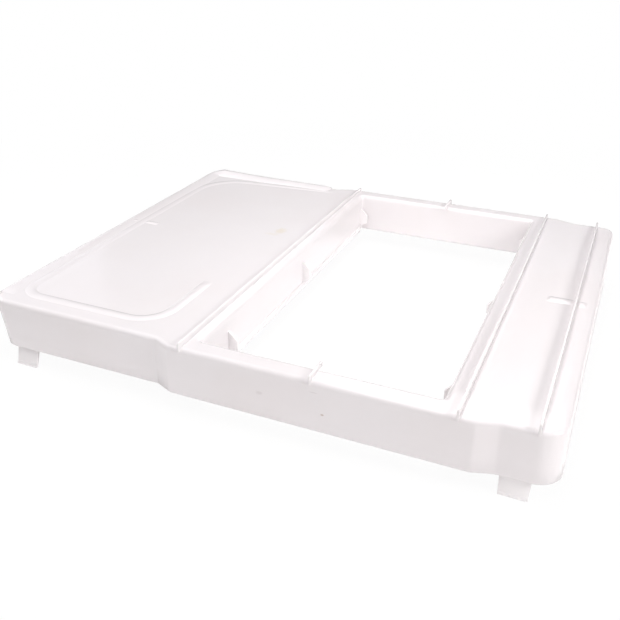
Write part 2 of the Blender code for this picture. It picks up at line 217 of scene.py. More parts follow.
class Recipe(Nodes):
    """The nodes of one material or world."""

    def __init__(self, tree: bpy.types.NodeTree) -> None:
        """Start from an empty tree."""
        super().__init__(tree)
        tree.nodes.clear()

    def wire(self, socket: bpy.types.NodeSocket) -> Wire:
        """Wrap a socket for use in expressions."""
        return Wire(self.tree, socket)

    def part(self, vector: bpy.types.NodeSocket, axis: str) -> Wire:
        """Take the part of a vector along one axis."""
        return self.wire(self.node("ShaderNodeSeparateXYZ", values={"Vector": vector}).outputs[axis])

    def vector_maths(
        self, operation: str, *operands: Union[bpy.types.NodeSocket, Triple]
    ) -> bpy.types.NodeOutputs:
        """Add a Vector Math node and return its outputs."""
        return self.node("ShaderNodeVectorMath", {"operation": operation}, dict(enumerate(operands))).outputs

    def noise(
        self, place: bpy.types.NodeSocket, scale: float, detail: float = 3.0, rough: float = 0.5
    ) -> Wire:
        """Return noise of the given scale at a place, from 0 to 1."""
        values = {"Vector": place, "Scale": scale, "Detail": detail, "Roughness": rough}
        return self.wire(self.node("ShaderNodeTexNoise", values=values).outputs[0])

    def blend(
        self, share: Wire, first: Union[Colour, bpy.types.NodeSocket], second: Colour
    ) -> bpy.types.NodeSocket:
        """Mix two colours.

        Args:
            share: How much of the second colour shows.
            first: The colour at 0, as a colour or a socket.
            second: The colour at 1.

        Returns:
            The mixed colour's socket.
        """
        base = (*first, 1.0) if isinstance(first, tuple) else first
        mix = self.node("ShaderNodeMix", {"data_type": "RGBA"}, {0: share, 6: base, 7: (*second, 1.0)})
        return mix.outputs[2]

    def mix_shaders(
        self,
        share: Union[Wire, bpy.types.NodeSocket, float],
        first: bpy.types.NodeSocket,
        second: bpy.types.NodeSocket,
    ) -> bpy.types.NodeSocket:
        """Mix two shaders, of which the second shows by the share."""
        return self.node("ShaderNodeMixShader", values={0: share, 1: first, 2: second}).outputs[0]


# ---------------------------------------------------------------- finishes


@dataclass(frozen=True)
class Mark:
    """A stain, smudge or scratch at one place on the moulding."""

    centre: Triple
    reach: Triple
    colour: Colour
    strength: float
    ragged: float = 0.5
    core: float = 0.25

    def mask(self, recipe: Recipe, place: bpy.types.NodeSocket, grain: Wire) -> Wire:
        """Say how strongly the mark shows.

        Args:
            recipe: Where nodes are added.
            place: The position on the object.
            grain: Noise that frays the mark's edge.

        Returns:
            A value from 0 to the mark's strength.
        """
        offset = recipe.vector_maths("SUBTRACT", place, self.centre)["Vector"]
        scaled = recipe.vector_maths("DIVIDE", offset, self.reach)["Vector"]
        length = recipe.wire(recipe.vector_maths("LENGTH", scaled)["Value"])
        distance = length + self.ragged * (grain - 0.5)
        return self.strength * distance.smooth(1.0, self.core)


@dataclass(frozen=True)
class Wear:
    """The patterns that a finish's colour, gloss and relief share."""

    place: bpy.types.NodeSocket
    height: Wire
    mottle: Wire
    dust: Wire
    specks: Wire
    hairs: Wire


@dataclass(frozen=True)
class MouldedPlastic:
    """Glossy white injection-moulded plastic with light wear, which lets a little light through."""

    name: str
    white: Colour = (0.865, 0.835, 0.845)
    warm: Colour = (0.84, 0.795, 0.795)
    soil: Colour = (0.62, 0.57, 0.53)
    mottle_scale: float = 7.0
    warm_band: Band = (0.35, 0.70)
    warm_share: float = 0.55
    soil_rise: Band = (0.007, -0.001)
    soil_band: Band = (0.35, 0.75)
    soil_share: float = 0.12
    roughness: float = 0.19
    roughness_spread: float = 0.10
    roughest: float = 0.265
    gloss_scale: float = 32.0
    gloss_middle: float = 0.45
    ior: float = 1.47
    specular: float = 0.30
    coat: float = 0.55
    coat_roughness: float = 0.045
    coat_ior: float = 1.5
    coat_worn: float = 0.5
    lets_through: float = 0.05
    dust_scale: float = 420.0
    speck_band: Band = (0.76, 0.84)
    speck_share: float = 0.10
    speck_roughness: float = 0.05
    hair_runs: tuple[tuple[float, Triple], ...] = ((0.5, (14.0, 900.0, 60.0)), (-0.8, (10.0, 760.0, 60.0)))
    hair_band: Band = (0.70, 0.78)
    hair_slope: Band = (0.80, 0.98)
    hair_share: float = 0.05
    hair_roughness: float = 0.03
    hair_depth: float = 0.4
    rub_below: float = 0.006
    rub_above: float = 0.004
    rub_roughness: float = 0.02
    grain_scale: float = 700.0
    grain_depth: float = 0.00002
    wave_scale: float = 14.0
    wave_depth: float = 0.00035
    marks: tuple[Mark, ...] = ()

    def material(self, foot: float, deck: float) -> bpy.types.Material:
        """Build the material.

        Args:
            foot: Height of the skirt's foot, where soil gathers.
            deck: Height of the deck, whose edge is rubbed.

        Returns:
            The material.
        """
        material = bpy.data.materials.new(self.name)
        material.use_nodes = True
        material.diffuse_color = (*self.white, 1.0)
        recipe = Recipe(material.node_tree)
        wear = self._wear(recipe)
        worn = (wear.hairs + wear.specks).smaller(1.0) * self.coat_worn
        shader = recipe.node(
            "ShaderNodeBsdfPrincipled",
            values={
                "Base Color": self._colour(recipe, wear, foot),
                "Roughness": self._roughness(recipe, wear, deck),
                "Normal": self._relief(recipe, wear),
                "IOR": self.ior,
                "Specular IOR Level": self.specular,
                "Coat Weight": self.coat * (1.0 - worn),
                "Coat Roughness": self.coat_roughness,
                "Coat IOR": self.coat_ior,
            },
        )
        through = recipe.node("ShaderNodeBsdfTranslucent", values={"Color": (*self.white, 1.0)})
        thin = recipe.mix_shaders(self.lets_through, shader.outputs[0], through.outputs[0])
        recipe.node("ShaderNodeOutputMaterial", values={"Surface": thin})
        return material

    def _wear(self, recipe: Recipe) -> Wear:
        """Make the shared patterns.

        Args:
            recipe: Where nodes are added.

        Returns:
            The patterns.
        """
        place = recipe.node("ShaderNodeTexCoord").outputs["Object"]
        mottle = recipe.noise(place, self.mottle_scale, detail=4.0)
        dust = recipe.noise(place, self.dust_scale, rough=0.7)
        specks = dust.smooth(*self.speck_band)
        return Wear(place, recipe.part(place, "Z"), mottle, dust, specks, self._hairlines(recipe, place))

    def _colour(self, recipe: Recipe, wear: Wear, foot: float) -> bpy.types.NodeSocket:
        """Mottle the white, soil it near the foot and lay the marks over it.

        Args:
            recipe: Where nodes are added.
            wear: The shared patterns.
            foot: Height of the skirt's foot.

        Returns:
            The colour's socket.
        """
        start, full = (foot + rise for rise in self.soil_rise)
        low = wear.height.smooth(start, full) * wear.mottle.smooth(*self.soil_band)
        dirt = low * self.soil_share + wear.specks * self.speck_share + wear.hairs * self.hair_share
        colour = recipe.blend(wear.mottle.smooth(*self.warm_band) * self.warm_share, self.white, self.warm)
        colour = recipe.blend(dirt, colour, self.soil)
        for mark in self.marks:
            colour = recipe.blend(mark.mask(recipe, wear.place, wear.dust), colour, mark.colour)
        return colour

    def _roughness(self, recipe: Recipe, wear: Wear, deck: float) -> Wire:
        """Vary the roughness, with dull specks, hairlines and a rubbed edge.

        Args:
            recipe: Where nodes are added.
            wear: The shared patterns.
            deck: Height of the deck.

        Returns:
            The roughness.
        """
        below, above = deck - self.rub_below, deck + self.rub_above
        rub = wear.height.smooth(below, deck) * wear.height.smooth(above, deck)
        gloss = recipe.noise(wear.place, self.gloss_scale, detail=4.0, rough=0.6)
        rough = self.roughness + self.roughness_spread * (gloss - self.gloss_middle)
        rough = rough + wear.hairs * self.hair_roughness
        return (rough + wear.specks * self.speck_roughness + rub * self.rub_roughness).smaller(self.roughest)

    def _relief(self, recipe: Recipe, wear: Wear) -> bpy.types.NodeSocket:
        """Make the slow ripple, the fine grain and the hairlines in the surface.

        Args:
            recipe: Where nodes are added.
            wear: The shared patterns.

        Returns:
            The normal's socket.
        """
        grain = recipe.noise(wear.place, self.grain_scale, detail=2.0)
        ripple = recipe.noise(wear.place, self.wave_scale, detail=1.0) * (self.wave_depth / self.grain_depth)
        surface = grain + ripple - wear.hairs * self.hair_depth
        values = {"Strength": 1.0, "Distance": self.grain_depth, "Height": surface}
        return recipe.node("ShaderNodeBump", values=values).outputs[0]

    def _hairlines(self, recipe: Recipe, place: bpy.types.NodeSocket) -> Wire:
        """Draw fine scratches in two directions on the faces that look up.

        Args:
            recipe: Where nodes are added.
            place: The position on the object.

        Returns:
            A value from 0 to 1.
        """
        lines: Optional[Wire] = None
        for turn, stretch in self.hair_runs:
            values = {"Vector": place, "Rotation": (0.0, 0.0, turn), "Scale": stretch}
            turned = recipe.node("ShaderNodeMapping", values=values).outputs[0]
            line = recipe.noise(turned, 1.0, detail=2.0).smooth(*self.hair_band)
            lines = line if lines is None else lines.larger(line)
        normal = recipe.node("ShaderNodeNewGeometry").outputs["Normal"]
        return lines * recipe.part(normal, "Z").smooth(*self.hair_slope)


# ---------------------------------------------------------------- outlines


def arc_points(centre: Vector, radius: float, start: float, turn: float, steps: int) -> list[Vector]:
    """Return points along an arc in a plane, both ends included."""
    angles = [start + turn * i / steps for i in range(steps + 1)]
    return [centre + radius * Vector((cos(a), sin(a))) for a in angles]


def rounded_loop(corners: Sequence[Triple], spacing: float) -> Loop:
    """Round each corner of a closed outline and divide its straight runs.

    Args:
        corners: (x, y, radius) of each corner, in order.
        spacing: The longest step along a straight run.

    Returns:
        Each point and the unit normal on the left of the direction of travel.
    """
    loop: Loop = []
    count = len(corners)
    for i, (x, y, radius) in enumerate(corners):
        here = Vector((x, y))
        before = (here - Vector(corners[i - 1][:2])).normalized()
        after = (Vector(corners[(i + 1) % count][:2]) - here).normalized()
        turn = atan2(before.x * after.y - before.y * after.x, before.dot(after))
        side = 1 if turn > 0 else -1
        start = here - before * radius * tan(abs(turn) / 2)
        centre = start + Vector((-before.y, before.x)) * radius * side
        first = atan2(start.y - centre.y, start.x - centre.x)
        steps = max(FEWEST_STEPS, round(abs(turn) / TURN_STEP))
        for point in arc_points(centre, radius, first, turn, steps):
            loop.append((point, (point - centre) * -side / radius))
    fine: Loop = []
    for (point, normal), (following, _) in zip(loop, loop[1:] + loop[:1]):
        fine.append((point, normal))
        length = (following - point).length
        parts = int(length / spacing)
        run = (following - point) / (parts + 1)
        flat = Vector((-run.y, run.x)).normalized()
        fine += [(point + run * (k + 1), flat) for k in range(parts)]
    return fine


def ring_mesh(bm: bmesh.types.BMesh, rings: Sequence[Sequence[Vector]]) -> list[list[bmesh.types.BMVert]]:
    """Join closed rings of equal length into a band of faces.

    Args:
        bm: The mesh that they go into.
        rings: The rings' points, in order across the band.

    Returns:
        The rings' vertices.
    """
    made = [[bm.verts.new(point) for point in ring] for ring in rings]
    for low, high in zip(made, made[1:]):
        for i in range(len(low)):
            j = (i + 1) % len(low)
            bm.faces.new((low[i], low[j], high[j], high[i]))
    return made


def fill_between(bm: bmesh.types.BMesh, *loops: Sequence[bmesh.types.BMVert]) -> None:
    """Fill the flat region between an outer and an inner ring.

    Args:
        bm: The mesh that both are in.
        loops: The rings' vertices.
    """
    edges = []
    for loop in loops:
        edges += [bm.edges.get((loop[i], loop[(i + 1) % len(loop)])) for i in range(len(loop))]
    bmesh.ops.triangle_fill(bm, edges=edges, use_beauty=True)


# ---------------------------------------------------------------- pieces


def smooth_by_angle(mesh: bpy.types.Mesh, angle: float) -> None:
    """Shade a mesh smooth and keep the edges that turn by more than the angle sharp."""
    mesh.shade_smooth()
    mesh.set_sharp_from_angle(angle=angle)


def add_piece(
    name: str,
    mesh: bpy.types.Mesh,
    material: bpy.types.Material,
    body: Body,
    nodes: Sequence[str],
) -> bpy.types.Object:
    """Put a finished mesh into the scene as a piece of the object.

    Args:
        name: The piece's name.
        mesh: Its mesh, in place.
        material: Its material.
        body: The body it rides on.
        nodes: The CAD nodes it stands for.

    Returns:
        The piece.
    """
    mesh.name = name
    mesh.materials.clear()
    mesh.materials.append(material)
    piece = bpy.data.objects.new(name, mesh)
    bpy.context.scene.collection.objects.link(piece)
    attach(piece, body.value)
    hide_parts(*nodes)
    LOG.info("%s: %d faces, on %s", name, len(mesh.polygons), body.value)
    return piece


class ShapeTree(Nodes):
    """A geometry node tree with named inputs."""

    def __init__(self, name: str, inputs: dict[str, str]) -> None:
        """Make the tree and its inputs.

        Args:
            name: The tree's name.
            inputs: The socket type of each named input.
        """
        super().__init__(bpy.data.node_groups.new(name, "GeometryNodeTree"))
        face = self.tree.interface
        face.new_socket("Geometry", in_out="INPUT", socket_type="NodeSocketGeometry")
        face.new_socket("Geometry", in_out="OUTPUT", socket_type="NodeSocketGeometry")
        self.inputs = {
            key: face.new_socket(key, in_out="INPUT", socket_type=kind).identifier
            for key, kind in inputs.items()
        }
        self.start = self.tree.nodes.new("NodeGroupInput")
        self.end = self.tree.nodes.new("NodeGroupOutput")

    def given(self, name: str) -> bpy.types.NodeSocket:
        """Return the socket of one of the tree's own inputs."""
        return self.start.outputs[name]

    def carried(self, name: str) -> bpy.types.NodeSocket:
        """Return a number that the points carry."""
        return self.node("GeometryNodeInputNamedAttribute", {"data_type": "FLOAT"}, {"Name": name}).outputs[0]

    def place(self) -> bpy.types.NodeOutputs:
        """Return the X, Y and Z of a point."""
        position = self.node("GeometryNodeInputPosition").outputs[0]
        return self.node("ShaderNodeSeparateXYZ", values={0: position}).outputs

    def vector(self, **parts: bpy.types.NodeSocket) -> bpy.types.NodeSocket:
        """Make a vector from some of its parts X, Y and Z, with 0 for the rest."""
        return self.node("ShaderNodeCombineXYZ", values=parts).outputs[0]

    def math(self, operation: str, *operands: Union[bpy.types.NodeSocket, float]) -> bpy.types.NodeSocket:
        """Add a Math node and return its result."""
        return self.node("ShaderNodeMath", {"operation": operation}, dict(enumerate(operands))).outputs[0]

    def move(self, geometry: bpy.types.NodeSocket, **how: bpy.types.NodeSocket) -> bpy.types.NodeSocket:
        """Set the points' Position or add an Offset to it."""
        return self.node("GeometryNodeSetPosition", values={"Geometry": geometry, **how}).outputs[0]

    def close(self, geometry: bpy.types.NodeSocket) -> None:
        """End the tree in Realize Instances and Set Material.

        Args:
            geometry: The finished shape.
        """
        real = self.node("GeometryNodeRealizeInstances", values={"Geometry": geometry})
        values = {"Geometry": real.outputs[0], "Material": self.given("Material")}
        done = self.node("GeometryNodeSetMaterial", values=values)
        self.tree.links.new(done.outputs[0], self.end.inputs[0])

    def grow(
        self,
        name: str,
        base: bpy.types.Mesh,
        values: dict,
        bevel: float = 0.0,
        keep: float = SHARP_FROM,
    ) -> bpy.types.Mesh:
        """Run the tree on a mesh and return the plain result.

        Args:
            name: The result's name.
            base: The mesh that the tree starts from.
            values: The inputs by name.
            bevel: Width of the rounding of sharp edges, or 0 for none.
            keep: Edges that turn more than this stay sharp in the shading.

        Returns:
            The plain mesh.
        """
        holder = bpy.data.objects.new(name + "_base", base)
        bpy.context.scene.collection.objects.link(holder)
        growing = holder.modifiers.new("Grow", "NODES")
        growing.node_group = self.tree
        for key, value in values.items():
            growing[self.inputs[key]] = value
        if bevel:
            rounding = holder.modifiers.new("Round", "BEVEL")
            rounding.width = bevel
            rounding.segments = ROUNDED_STEPS
            rounding.limit_method = "ANGLE"
            rounding.angle_limit = ROUNDED_FROM
        graph = bpy.context.evaluated_depsgraph_get()
        mesh = bpy.data.meshes.new_from_object(holder.evaluated_get(graph))
        bpy.data.objects.remove(holder, do_unlink=True)
        bpy.data.meshes.remove(base)
        bm = bmesh.new()
        bm.from_mesh(mesh)
        bmesh.ops.remove_doubles(bm, verts=bm.verts, dist=WELD)
        bmesh.ops.recalc_face_normals(bm, faces=bm.faces)
        bm.to_mesh(mesh)
        bm.free()
        smooth_by_angle(mesh, keep)
        return mesh


class WebTree(ShapeTree):
    """Thickens a flat upright outline into a rib, fin, stop, root or tab."""

    def __init__(self) -> None:
        """Build the tree."""
        kinds = {key: "NodeSocketFloat" for key in ("Thickness", "Middle", "Top", "Taper")}
        kinds.update({"Turned": "NodeSocketBool", "Material": "NodeSocketMaterial"})
        super().__init__("Upright web", kinds)
        thickness = self.given("Thickness")
        values = {"Switch": self.given("Turned")}
        values.update({"False": self.vector(X=thickness), "True": self.vector(Y=thickness)})
        push = self.node("GeometryNodeSwitch", {"input_type": "VECTOR"}, values).outputs[0]
        flat = self.given("Geometry")
        values = {"Mesh": flat, "Offset": push, "Offset Scale": 1.0, "Individual": False}
        pushed = self.node("GeometryNodeExtrudeMesh", {"mode": "FACES"}, values)
        back = self.node("GeometryNodeFlipFaces", values={"Mesh": flat})
        both = self.node("GeometryNodeJoinGeometry")
        self.tree.links.new(pushed.outputs[0], both.inputs[0])
        self.tree.links.new(back.outputs[0], both.inputs[0])
        values = {"Geometry": both.outputs[0], "Distance": 10 * WELD}
        whole = self.node("GeometryNodeMergeByDistance", values=values)
        place = self.place()
        below = self.math("SUBTRACT", self.given("Top"), place["Z"])
        share = self.math("MULTIPLY", below, self.given("Taper"))
        across = self.math("SUBTRACT", self.given("Middle"), place["X"])
        shift = self.math("MULTIPLY", across, share)
        self.close(self.move(whole.outputs[0], Offset=self.vector(X=shift)))

    def thicken(
        self,
        name: str,
        view: Sequence[Vector],
        thickness: float,
        material: bpy.types.Material,
        edge: float,
        turned: bool = False,
        middle: float = 0.0,
        top: float = 0.0,
        taper: float = 0.0,
    ) -> bpy.types.Mesh:
        """Thicken an upright outline and round its edges.

        Args:
            name: The result's name.
            view: The outline's points.
            thickness: How far it is pushed along X, or along Y if turned.
            material: Its material.
            edge: Width of the rounding of its edges.
            turned: Whether it is pushed along Y.
            middle: X of the line that a taper draws it towards.
            top: Height where a taper starts.
            taper: Share of the width that a taper takes for each metre below the top.

        Returns:
            The plain mesh.
        """
        values = {"Thickness": thickness, "Middle": middle, "Top": top, "Taper": taper}
        values.update({"Turned": turned, "Material": material})
        return self.grow(name, flat_face(name, view), values, edge)


class BeadTree(ShapeTree):
    """Sweeps a soft, low crown along a path whose points carry a corner radius and a rise."""

    SIZES = ("Width", "Inner Slope", "Height", "Base", "Sunk", "Fullness", "End Taper", "Step")
    CORNER_STEPS = 14
    CROWN_STEPS = 28
    END_RISE = 0.04
    SOLE_FROM = -0.01

    def __init__(self) -> None:
        """Build the tree."""
        kinds = {key: "NodeSocketFloat" for key in self.SIZES}
        super().__init__("Soft bead", {**kinds, "Material": "NodeSocketMaterial"})
        curve = self.node("GeometryNodeMeshToCurve", values={"Mesh": self.given("Geometry")})
        values = {"Curve": curve.outputs[0], "Count": self.CORNER_STEPS, "Limit Radius": True}
        values["Radius"] = self.carried("corner")
        rounded = self.node("GeometryNodeFilletCurve", {"mode": "POLY"}, values)
        values = {"Curve": rounded.outputs[0], "Length": self.given("Step")}
        even = self.node("GeometryNodeResampleCurve", {"mode": "LENGTH"}, values)
        level = self.node("GeometryNodeSetCurveNormal", {"mode": "Z_UP"}, {"Curve": even.outputs[0]})
        gone = self.node("GeometryNodeSplineParameter").outputs["Length"]
        total = self.node("GeometryNodeSplineLength").outputs["Length"]
        near_end = self.math("MINIMUM", gone, self.math("SUBTRACT", total, gone))
        values = {"Value": near_end, 1: 0.0, 2: self.given("End Taper"), 3: self.END_RISE, 4: 1.0}
        eased = self.node("ShaderNodeMapRange", {"interpolation_type": "SMOOTHSTEP"}, values)
        lift = self.math("MULTIPLY", eased.outputs[0], self.carried("rise"))
        settings = {"data_type": "FLOAT", "domain": "POINT"}
        values = {"Geometry": level.outputs[0], "Name": "lift", "Value": lift}
        lifted = self.node("GeometryNodeStoreNamedAttribute", settings, values)
        values = {"Curve": lifted.outputs[0], "Profile Curve": self._crown(), "Fill Caps": True}
        swept = self.node("GeometryNodeCurveToMesh", values=values)
        above = self.math("MAXIMUM", self.math("SUBTRACT", self.place()["Z"], self.given("Base")), 0.0)
        drop = self.math("MULTIPLY", above, self.math("SUBTRACT", self.carried("lift"), 1.0))
        self.close(self.move(swept.outputs[0], Offset=self.vector(Z=drop)))

    def _crown(self) -> bpy.types.NodeSocket:
        """Shape the closed section: a soft crown above the base and a flat sole below it.

        The section's own Y points down once the curve's normals are level.

        Returns:
            The section.
        """
        values = {"Resolution": self.CROWN_STEPS, "Radius": 1.0}
        circle = self.node("GeometryNodeCurvePrimitiveCircle", values=values)
        place = self.place()
        across = self.math("MULTIPLY", place["X"], self.math("MULTIPLY", self.given("Width"), 0.5))
        inwards = self.math("MINIMUM", place["X"], 0.0)
        across = self.math("ADD", across, self.math("MULTIPLY", inwards, self.given("Inner Slope")))
        up = self.math("POWER", self.math("MAXIMUM", place["Y"], 0.0), self.given("Fullness"))
        sunk = self.given("Sunk")
        rise = self.math("MULTIPLY", up, self.math("ADD", self.given("Height"), sunk))
        deep = self.math("MULTIPLY", self.math("LESS_THAN", place["Y"], self.SOLE_FROM), sunk)
        below = self.math("SUBTRACT", self.math("ADD", sunk, deep), rise)
        return self.move(circle.outputs[0], Position=self.vector(X=across, Y=below))


def flat_face(name: str, points: Sequence[Vector]) -> bpy.types.Mesh:
    """Make a mesh of one many-sided face.

    Args:
        name: The mesh's name.
        points: The face's corners.

    Returns:
        The mesh.
    """
    mesh = bpy.data.meshes.new(name)
    mesh.from_pydata([tuple(point) for point in points], [], [list(range(len(points)))])
    return mesh


def path_mesh(name: str, points: Sequence[Stop]) -> bpy.types.Mesh:
    """Make a chain of edges whose points carry a corner radius and a rise.

    Args:
        name: The mesh's name.
        points: The place, corner radius and rise of each point.

    Returns:
        The mesh.
    """
    mesh = bpy.data.meshes.new(name)
    places = [tuple(place) for place, _, _ in points]
    mesh.from_pydata(places, [(i, i + 1) for i in range(len(points) - 1)], [])
    for key, column in (("corner", 1), ("rise", 2)):
        attribute = mesh.attributes.new(key, "FLOAT", "POINT")
        attribute.data.foreach_set("value", [point[column] for point in points])
    return mesh


# ---------------------------------------------------------------- sub-assemblies


@dataclass(frozen=True)
class Plan:
    """Where the moulding's edges are, read from the CAD nodes."""

    left: float
    right: float
    front: float
    back: float
    foot: float
    deck: float
    hole_left: float
    hole_right: float
    hole_front: float
    hole_back: float
    liner_foot: float
    left_setback: float = 0.008
    right_setback_front: float = 0.006
    right_setback_back: float = 0.007
    lip_out: float = 0.003

    @classmethod
    def from_nodes(cls) -> "Plan":
        """Read the plan from the nodes' boxes.

        Returns:
            The plan.
        """
        left_low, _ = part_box("skirt_left_end")
        _, right_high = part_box("skirt_right_end")
        front_low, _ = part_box("skirt_front")
        _, back_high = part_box("skirt_back")
        _, deck_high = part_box("deck_left")
        _, liner_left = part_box("liner_left")
        liner_right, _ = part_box("liner_right")
        front_liner_low, front_liner_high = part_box("liner_front")
        back_liner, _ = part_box("liner_back")
        return cls(
            left=left_low.x,
            right=right_high.x,
            front=front_low.y,
            back=back_high.y,
            foot=front_low.z,
            deck=deck_high.z,
            hole_left=liner_left.x - cls.lip_out,
            hole_right=liner_right.x + cls.lip_out,
            hole_front=front_liner_high.y,
            hole_back=back_liner.y,
            liner_foot=front_liner_low.z,
        )

    def at(self, x: float, y: float, z: float = 0.0) -> Triple:
        """Return a place measured from the outline's front left corner and the deck's top."""
        return (self.left + x, self.front + y, self.deck + z)


@dataclass
class Shell:
    """Skirt, deck and liners as one continuous moulding."""

    plan: Plan
    wall: float = 0.0025
    draft: float = 0.001
    rounding: float = 0.005
    border: float = 0.010
    lean: float = 0.0085
    lean_reach: float = 0.060
    jog_left: tuple[float, float] = (0.197, 0.215)
    jog_right: tuple[float, float] = (0.492, 0.5105)
    jog_radius: float = 0.014
    jog_inner_radius: float = 0.005
    near_left: float = 0.022
    near_right: float = 0.022
    far_right: float = 0.015
    far_left: float = 0.020
    hole_corner: float = 0.003
    flange: float = 0.008
    lip_height: float = 0.005
    lip_fade: float = 0.005
    foot_round: float = 0.0006
    foot_flat: float = 0.0004
    land: float = 0.001
    mid_height: float = 0.4
    lip_shoulder: tuple[Band, ...] = ((0.0, 0.0), (0.0004, 0.55), (0.0016, 0.95), (0.0022, 1.0))
    arc_steps: int = 8
    spacing: float = 0.012
    crease: float = radians(50)

    def _outline(self) -> Loop:
        """Lay out the skirt's foot, seen from above, with the inside on the left hand.

        Returns:
            Its points and their inward normals.
        """
        p = self.plan
        left_front, left_back = p.front + p.left_setback, p.back - p.left_setback
        right_front, right_back = p.front + p.right_setback_front, p.back - p.right_setback_back
        left_start, left_end = (p.left + x for x in self.jog_left)
        right_start, right_end = (p.left + x for x in self.jog_right)
        corners = [
            (left_start, left_front, self.jog_inner_radius),
            (left_end, p.front, self.jog_radius),
            (right_start, p.front, self.jog_radius),
            (right_end, right_front, self.jog_radius),
            (p.right, right_front, self.near_right),
            (p.right, right_back, self.far_right),
            (right_end, right_back, self.jog_radius),
            (right_start, p.back, self.jog_radius),
            (left_end, p.back, self.jog_radius),
            (left_start, left_back, self.jog_inner_radius),
            (p.left, left_back, self.far_left),
            (p.left, left_front, self.near_left),
        ]
        return rounded_loop(corners, self.spacing)

    def _wall_section(self, nx: float) -> list[tuple[float, float]]:
        """The skirt's section from the flange's underside, round the foot, to the flange's top.

        Args:
            nx: The X part of the wall's inward normal.

        Returns:
            (distance inwards, height) of each ring.
        """
        p, turn = self.plan, self.foot_round
        top = self.draft * (1 - max(0.0, nx) ** 2)
        bend = p.deck - self.rounding
        under, over = p.deck - self.wall, p.deck
        heights = [p.foot + turn, p.foot + self.mid_height * (bend - p.foot), bend - self.land]
        lean = [top * (z - p.foot) / (bend - p.foot) for z in heights]
        inner = [(self.wall + n, z) for n, z in zip(lean, heights)]
        outer = list(zip(lean, heights))
        centre = Vector((top + self.rounding, bend))
        small = arc_points(centre, self.rounding - self.wall, pi, -pi / 2, self.arc_steps)
        large = arc_points(centre, self.rounding, pi, -pi / 2, self.arc_steps)
        sole = [(self.wall - turn, p.foot), (turn, p.foot)]
        return [
            (self.border, under),
            (top + self.rounding + self.land, under),
            *[tuple(point) for point in reversed(small)],
            *reversed(inner),
            *sole,
            *outer,
            *[tuple(point) for point in large],
            (top + self.rounding + self.land, over),
            (self.border, over),
        ]

    def _leaned(self, point: Vector) -> Vector:
        """Move the left wall's lower part inwards, fading upwards and along the front and back.

        Args:
            point: A point of the skirt, which is changed.

        Returns:
            The point.
        """
        p = self.plan
        from_left = point.x - p.left
        up = (point.z - p.foot) / (p.deck - self.rounding - p.foot)
        if from_left < self.lean_reach and up < 1:
            point.x += self.lean * (1 - from_left / self.lean_reach) * (1 - up)
        return point

    def _skirt_rings(self) -> list[list[Vector]]:
        """Carry the skirt's section round its outline.

        Returns:
            The rings, from the flange's underside to its top.
        """
        outline = self._outline()
        sections = [self._wall_section(normal.x) for _, normal in outline]
        rings = []
        for k in range(len(sections[0])):
            ring = []
            for (place, normal), section in zip(outline, sections):
                n, z = section[k]
                there = place + normal * n
                ring.append(self._leaned(Vector((there.x, there.y, z))))
            rings.append(ring)
        return rings

    def _lip(self, place: Vector) -> float:
        """Say how much of the lip stands at a place: all along the side liners, none at the corners.

        Args:
            place: A point of the opening's outline.

        Returns:
            A share from 0 to 1.
        """
        p = self.plan
        side = min(abs(place.x - p.hole_left), abs(place.x - p.hole_right))
        run = min(place.y - p.hole_front, p.hole_back - place.y) - self.hole_corner
        if side > TOUCH or run < 0:
            return 0.0
        return min(1.0, run / self.lip_fade)

    def _hole_rings(self) -> list[list[Vector]]:
        """Carry the liner's section round the opening.

        Returns:
            The rings, from the deck's top, down the liner and up behind it.
        """
        p, r = self.plan, self.hole_corner
        corners = [
            (p.hole_left, p.hole_front, r),
            (p.hole_left, p.hole_back, r),
            (p.hole_right, p.hole_back, r),
            (p.hole_right, p.hole_front, r),
        ]
        outline = rounded_loop(corners, self.spacing)
        bend, land = p.deck - self.rounding, self.land
        under, over, foot = p.deck - self.wall, p.deck, p.liner_foot
        centre = Vector((self.rounding, bend))
        large = arc_points(centre, self.rounding, pi / 2, pi / 2, self.arc_steps)
        small = arc_points(centre, self.rounding - self.wall, pi, -pi / 2, self.arc_steps)
        out, flat, turn = p.lip_out, self.foot_flat, self.foot_round
        lip_top = foot + self.lip_height
        section = [(self.flange, over, 0.0), (self.rounding + land, over, 0.0)]
        section += [(*point, 0.0) for point in large]
        section += [(0.0, bend - land, 0.0), (0.0, lip_top + land, 0.0)]
        section += [(0.0, lip_top - drop, out * share) for drop, share in self.lip_shoulder]
        section += [
            (0.0, foot + turn, out),
            (flat, foot, out),
            (self.wall - flat, foot, 0.0),
            (self.wall, foot + turn, 0.0),
            (self.wall, bend - land, 0.0),
        ]
        section += [(*point, 0.0) for point in small]
        section += [(self.rounding + land, under, 0.0), (self.flange, under, 0.0)]
        rings = []
        for n, z, lip in section:
            ring = []
            for place, normal in outline:
                there = place + normal * (n - lip * self._lip(place))
                ring.append(Vector((there.x, there.y, z)))
            rings.append(ring)
        return rings

    def build(self) -> bpy.types.Mesh:
        """Make the moulding as one closed body.

        Returns:
            Its mesh.
        """
        bm = bmesh.new()
        skirt = ring_mesh(bm, self._skirt_rings())
        hole = ring_mesh(bm, self._hole_rings())
        fill_between(bm, skirt[-1], hole[0])
        fill_between(bm, skirt[0], hole[-1])
        bmesh.ops.recalc_face_normals(bm, faces=bm.faces)
        mesh = bpy.data.meshes.new("moulded_shell")
        bm.to_mesh(mesh)
        bm.free()
        smooth_by_angle(mesh, self.crease)
        return mesh

    def dress(self, material: bpy.types.Material) -> None:
        """Add the moulding to the scene.

        Args:
            material: Its material.
        """
        nodes = [f"skirt_{side}" for side in ("left_end", "right_end", "front", "back")]
        nodes += [f"liner_{side}" for side in ("left", "right", "front", "back")]
        nodes += ["deck_left", "deck_right"]
        add_piece("moulded_shell", self.build(), material, Body.FRAME, nodes)


